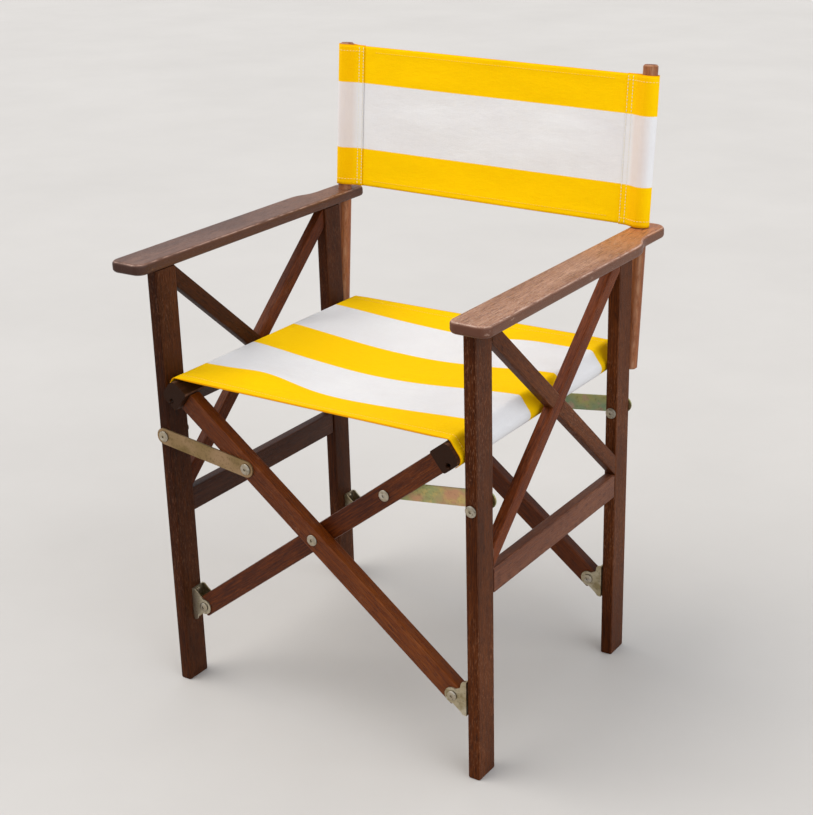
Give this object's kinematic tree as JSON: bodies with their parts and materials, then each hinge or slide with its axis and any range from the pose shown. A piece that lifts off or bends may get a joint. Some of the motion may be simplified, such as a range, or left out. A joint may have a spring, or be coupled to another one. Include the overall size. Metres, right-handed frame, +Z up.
{
  "type": "folding director chair",
  "caption": "Folding wooden director chair with flat armrests, crossed legs that fold sideways, and a striped cloth seat and back.",
  "frame": {"origin": "on the floor under the middle of the chair", "axes": "+Z up, -Y the way the sitter faces, +X across the chair"},
  "size_m": [0.594, 0.5245, 0.8728],
  "materials": {
    "dark_wood": "dark red-brown lacquer, satin",
    "arm_wood": "brown lacquer, worn on top",
    "post_wood": "orange-brown lacquer, satin",
    "rod_wood": "bare hardwood",
    "zinc_steel": "yellow zinc plated",
    "rivet_steel": "plated, satin",
    "cloth": "woven cotton canvas, wide yellow and white stripes"
  },
  "bodies": {
    "left_frame": {"left_front_leg": "dark_wood", "left_back_leg": "dark_wood", "left_armrest": "arm_wood", "left_side_rail": "dark_wood", "left_brace_rising": "dark_wood", "left_brace_falling": "dark_wood", "left_back_post": "post_wood", "left_post_screw": "zinc_steel", "left_front_bracket": "zinc_steel", "left_front_screw_lower": "zinc_steel", "left_front_screw_upper": "zinc_steel", "left_front_bracket_rivet": "rivet_steel", "front_left_link_leg_rivet": "rivet_steel", "left_back_bracket": "zinc_steel", "left_back_screw_lower": "zinc_steel", "left_back_screw_upper": "zinc_steel", "left_back_bracket_rivet": "rivet_steel", "back_left_link_leg_rivet": "rivet_steel", "back_cloth": "cloth"},
    "front_left_link_arm": {"front_left_link": "zinc_steel", "front_left_link_cap": "rivet_steel"},
    "back_left_link_arm": {"back_left_link": "zinc_steel", "back_left_link_cap": "rivet_steel"},
    "right_frame": {"right_front_leg": "dark_wood", "right_back_leg": "dark_wood", "right_armrest": "arm_wood", "right_side_rail": "dark_wood", "right_brace_rising": "dark_wood", "right_brace_falling": "dark_wood", "right_back_post": "post_wood", "right_post_screw": "zinc_steel", "right_front_bracket": "zinc_steel", "right_front_screw_lower": "zinc_steel", "right_front_screw_upper": "zinc_steel", "right_front_bracket_rivet": "rivet_steel", "front_right_link_leg_rivet": "rivet_steel", "right_back_bracket": "zinc_steel", "right_back_screw_lower": "zinc_steel", "right_back_screw_upper": "zinc_steel", "right_back_bracket_rivet": "rivet_steel", "back_right_link_leg_rivet": "rivet_steel"},
    "front_right_link_arm": {"front_right_link": "zinc_steel", "front_right_link_cap": "rivet_steel"},
    "back_right_link_arm": {"back_right_link": "zinc_steel", "back_right_link_cap": "rivet_steel"},
    "scissor_a": {"front_bar_a": "dark_wood", "back_bar_a": "dark_wood", "right_seat_rail": "dark_wood", "right_hem_rod": "rod_wood", "front_crossing_rivet": "rivet_steel", "back_crossing_rivet": "rivet_steel", "front_right_link_bar_rivet": "rivet_steel", "back_right_link_bar_rivet": "rivet_steel", "seat_cloth": "cloth"},
    "scissor_b": {"front_bar_b": "dark_wood", "back_bar_b": "dark_wood", "left_seat_rail": "dark_wood", "left_hem_rod": "rod_wood"}
  },
  "joints": [
    {"name": "fold", "type": "hinge", "parent": "left_frame", "child": "scissor_a", "pos_m": [-0.22027, -0.0145, 0.1205], "axis": [0, -1, 0], "range_deg": [0, 46], "deforming": ["seat_cloth", "back_cloth"]},
    {"name": "bars_cross", "type": "hinge", "parent": "scissor_a", "child": "scissor_b", "pos_m": [0, -0.0145, 0.29075], "axis": [0, 1, 0], "range_deg": [0, 92]},
    {"name": "right_frame_turn", "type": "hinge", "parent": "scissor_b", "child": "right_frame", "pos_m": [0.22027, -0.0145, 0.1205], "axis": [0, -1, 0], "range_deg": [0, 46]},
    {"name": "front_left_link_swing", "type": "hinge", "parent": "left_frame", "child": "front_left_link_arm", "pos_m": [-0.251, -0.0145, 0.39179], "axis": [0, -1, 0], "range_deg": [0, 79]},
    {"name": "front_right_link_swing", "type": "hinge", "parent": "right_frame", "child": "front_right_link_arm", "pos_m": [0.251, -0.0145, 0.39179], "axis": [0, 1, 0], "range_deg": [0, 79]},
    {"name": "back_left_link_swing", "type": "hinge", "parent": "left_frame", "child": "back_left_link_arm", "pos_m": [-0.251, -0.0145, 0.39179], "axis": [0, -1, 0], "range_deg": [0, 79]},
    {"name": "back_right_link_swing", "type": "hinge", "parent": "right_frame", "child": "back_right_link_arm", "pos_m": [0.251, -0.0145, 0.39179], "axis": [0, 1, 0], "range_deg": [0, 79]}
  ],
  "couplings": [
    {"joint": "bars_cross", "follows": "fold", "ratio": 2},
    {"joint": "right_frame_turn", "follows": "fold", "ratio": 1},
    {"joint": "front_left_link_swing", "follows": "fold", "ratio": 1.716},
    {"joint": "front_right_link_swing", "follows": "fold", "ratio": 1.716},
    {"joint": "back_left_link_swing", "follows": "fold", "ratio": 1.716},
    {"joint": "back_right_link_swing", "follows": "fold", "ratio": 1.716}
  ]
}
